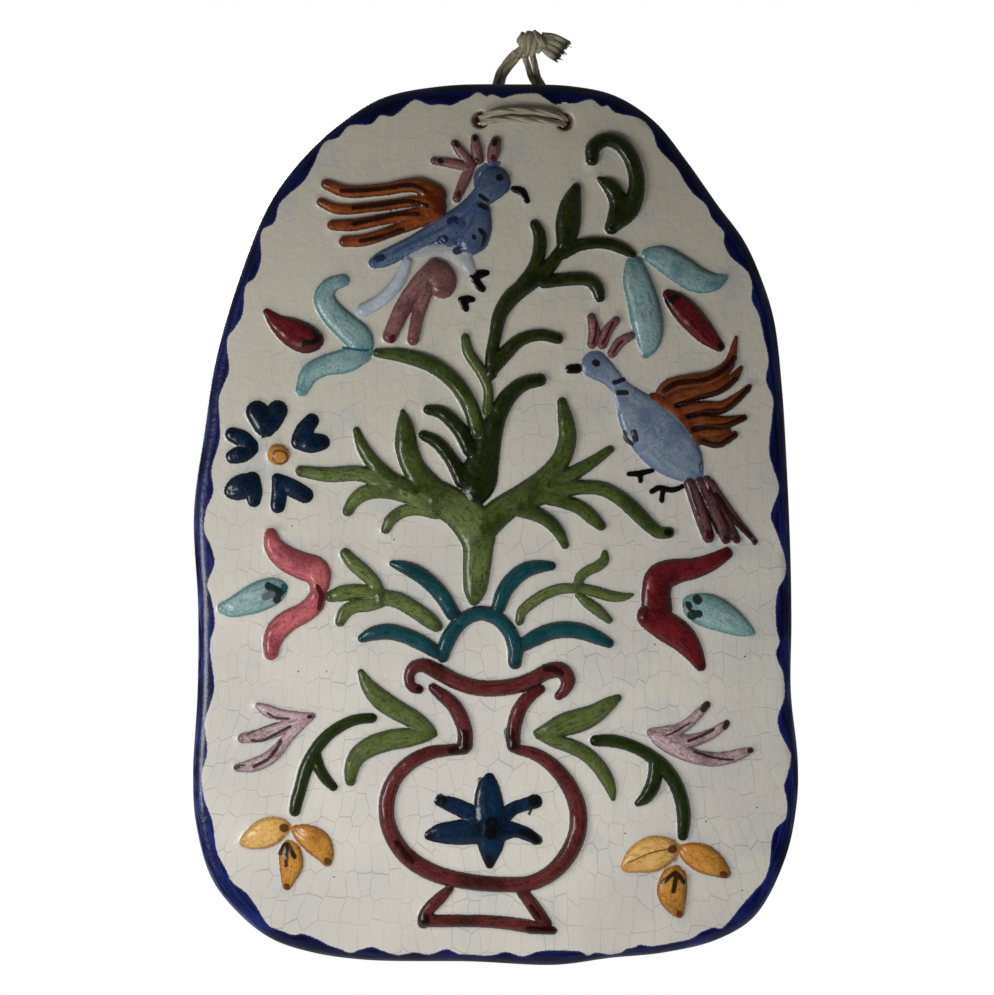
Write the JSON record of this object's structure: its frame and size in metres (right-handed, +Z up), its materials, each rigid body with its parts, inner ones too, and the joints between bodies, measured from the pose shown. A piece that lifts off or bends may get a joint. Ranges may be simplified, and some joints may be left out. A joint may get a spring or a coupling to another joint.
{
  "type": "decorative wall plaque",
  "caption": "Glazed pottery wall plaque with raised birds, flowers and a vase, a blue border, and a knotted cord through two holes to hang it by.",
  "frame": {"origin": "middle of the flat back, on the wall plane", "axes": "+Z up, the back faces +Y into the wall, the decorated face looks along -Y, +X to the right seen from the front"},
  "size_m": [0.2023, 0.015, 0.3132],
  "materials": {
    "glazed_pottery": "glossy, finely crazed off-white glaze with coloured glazes on the raised work and a cobalt blue edge",
    "twine": "soft undyed cotton twine, matte and slightly fuzzy"
  },
  "bodies": {
    "root": {"plaque": "glazed_pottery", "upper_strand": "twine", "lower_strand": "twine", "knot": "twine", "tail": "twine"}
  },
  "joints": []
}
